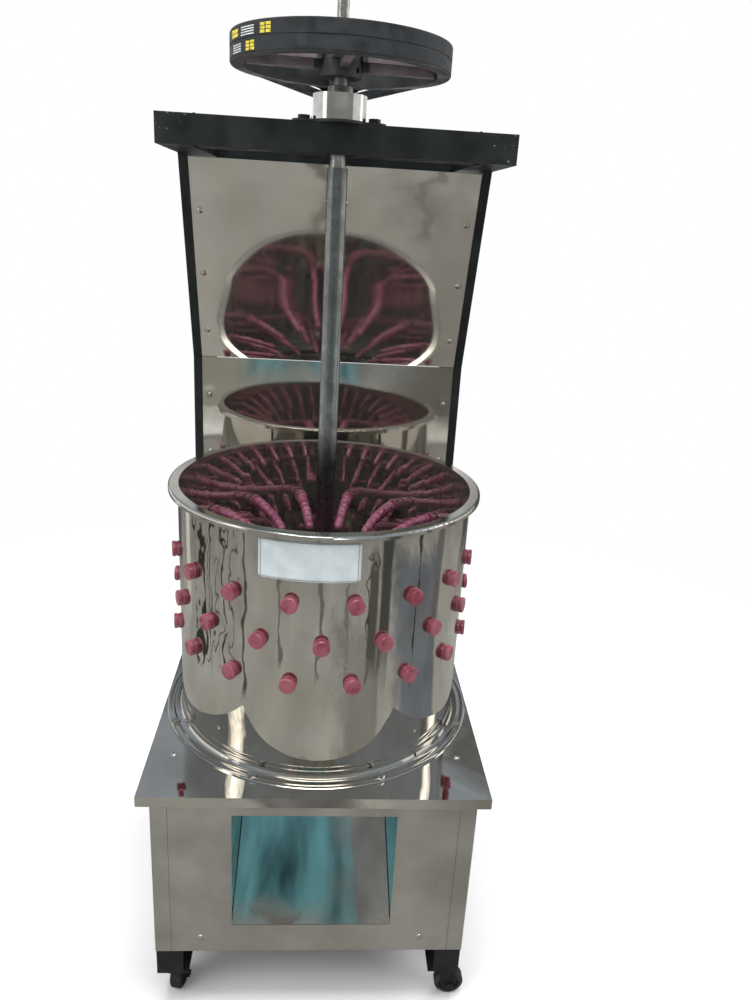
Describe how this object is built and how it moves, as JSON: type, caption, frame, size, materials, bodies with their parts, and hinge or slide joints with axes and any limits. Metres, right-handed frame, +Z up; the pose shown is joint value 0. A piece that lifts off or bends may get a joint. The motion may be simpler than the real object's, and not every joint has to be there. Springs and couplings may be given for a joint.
{
  "type": "poultry plucker",
  "caption": "Floor-standing poultry plucker: polished drum lined with drooping rubber fingers on a cabinet with a feather outlet, overhead belt drive on a leaning back frame, on casters.",
  "frame": {"origin": "floor level under the middle of the box round the machine, front deck lip to motor fins", "axes": "+Z up along the drive shaft, +X to the operator's right, +Y away from the operator"},
  "size_m": [0.566, 0.712, 1.65],
  "materials": {
    "polished_steel": "mirror polished",
    "satin_steel": "satin",
    "black_paint": "satin",
    "caster_steel": "satin",
    "wheel_rubber": "matte",
    "finger_rubber": "matte",
    "belt_rubber": "matte",
    "pulley_iron": "painted",
    "tube_steel": "dull",
    "shaft_steel": "ground",
    "plate_steel": "brushed",
    "zinc_bolts": "zinc plated",
    "dark_bolts": "blackened",
    "cast_alloy": "cast",
    "motor_paint": "semi gloss",
    "lamination": "varnished",
    "black_plastic": "moulded"
  },
  "bodies": {
    "machine": {"legs": "black_paint", "frame_rails": "black_paint", "caster_plates": "caster_steel", "front_panel": "satin_steel", "corner_trims": "satin_steel", "side_panels": "satin_steel", "rear_panel": "satin_steel", "feather_chute": "polished_steel", "deck_plate": "polished_steel", "drum_shell": "polished_steel", "drum_base_ring": "polished_steel", "ring_bolts": "zinc_bolts", "upper_fingers": "finger_rubber", "middle_fingers": "finger_rubber", "lower_fingers": "finger_rubber", "left_post": "black_paint", "right_post": "black_paint", "back_ties": "black_paint", "post_brackets": "black_paint", "lower_back_panel": "polished_steel", "upper_back_panel": "polished_steel", "panel_screws": "zinc_bolts", "top_arms": "black_paint", "cross_beam": "black_paint", "frame_bolts": "dark_bolts", "bearing_housing": "cast_alloy", "shaft_bearings": "shaft_steel", "motor_bracket": "black_paint", "motor_frame": "motor_paint", "motor_stator": "lamination", "end_shields": "cast_alloy", "fan_cowl": "motor_paint", "terminal_box": "motor_paint", "cable_gland": "black_plastic", "motor_bolts": "zinc_bolts", "upper_belt": "belt_rubber", "lower_belt": "belt_rubber"},
    "rotor": {"main_shaft": "shaft_steel", "drive_tube": "tube_steel", "tube_pins": "shaft_steel", "lock_collar": "tube_steel", "drive_pulley": "pulley_iron", "pulley_key": "shaft_steel", "finger_plate": "plate_steel", "plate_hub": "tube_steel", "plate_bolts": "zinc_bolts", "plate_fingers": "finger_rubber"},
    "motor_armature": {"motor_shaft": "shaft_steel", "motor_rotor": "lamination", "motor_fan": "black_plastic", "motor_pulley": "pulley_iron"},
    "front_left_fork": {"front_left_fork": "caster_steel"},
    "front_left_wheel": {"front_left_wheel": "wheel_rubber"},
    "front_right_fork": {"front_right_fork": "caster_steel"},
    "front_right_wheel": {"front_right_wheel": "wheel_rubber"},
    "rear_left_fork": {"rear_left_fork": "caster_steel"},
    "rear_left_wheel": {"rear_left_wheel": "wheel_rubber"},
    "rear_right_fork": {"rear_right_fork": "caster_steel"},
    "rear_right_wheel": {"rear_right_wheel": "wheel_rubber"}
  },
  "joints": [
    {"name": "main_spin", "type": "hinge", "parent": "machine", "child": "rotor", "pos_m": [0, -0.054, 1], "axis": [0, 0, 1], "continuous": true},
    {"name": "motor_spin", "type": "hinge", "parent": "machine", "child": "motor_armature", "pos_m": [0, 0.278, 1.4], "axis": [0, 0, 1], "continuous": true},
    {"name": "front_left_swivel", "type": "hinge", "parent": "machine", "child": "front_left_fork", "pos_m": [-0.2368, -0.3098, 0.07], "axis": [0, 0, 1], "continuous": true},
    {"name": "front_left_roll", "type": "hinge", "parent": "front_left_fork", "child": "front_left_wheel", "pos_m": [-0.23327, -0.29317, 0.026], "axis": [-0.9781, 0.2079, 0], "continuous": true},
    {"name": "front_right_swivel", "type": "hinge", "parent": "machine", "child": "front_right_fork", "pos_m": [0.2368, -0.3098, 0.07], "axis": [0, 0, 1], "continuous": true},
    {"name": "front_right_roll", "type": "hinge", "parent": "front_right_fork", "child": "front_right_wheel", "pos_m": [0.2538, -0.3098, 0.026], "axis": [0, 1, 0], "continuous": true},
    {"name": "rear_left_swivel", "type": "hinge", "parent": "machine", "child": "rear_left_fork", "pos_m": [-0.2368, 0.2218, 0.07], "axis": [0, 0, 1], "continuous": true},
    {"name": "rear_left_roll", "type": "hinge", "parent": "rear_left_fork", "child": "rear_left_wheel", "pos_m": [-0.22882, 0.23681, 0.026], "axis": [-0.8829, 0.4695, 0], "continuous": true},
    {"name": "rear_right_swivel", "type": "hinge", "parent": "machine", "child": "rear_right_fork", "pos_m": [0.2368, 0.2218, 0.07], "axis": [0, 0, 1], "continuous": true},
    {"name": "rear_right_roll", "type": "hinge", "parent": "rear_right_fork", "child": "rear_right_wheel", "pos_m": [0.23099, 0.23777, 0.026], "axis": [-0.9397, -0.342, 0], "continuous": true}
  ],
  "couplings": [
    {"joint": "motor_spin", "follows": "main_spin", "ratio": 5.0221}
  ]
}
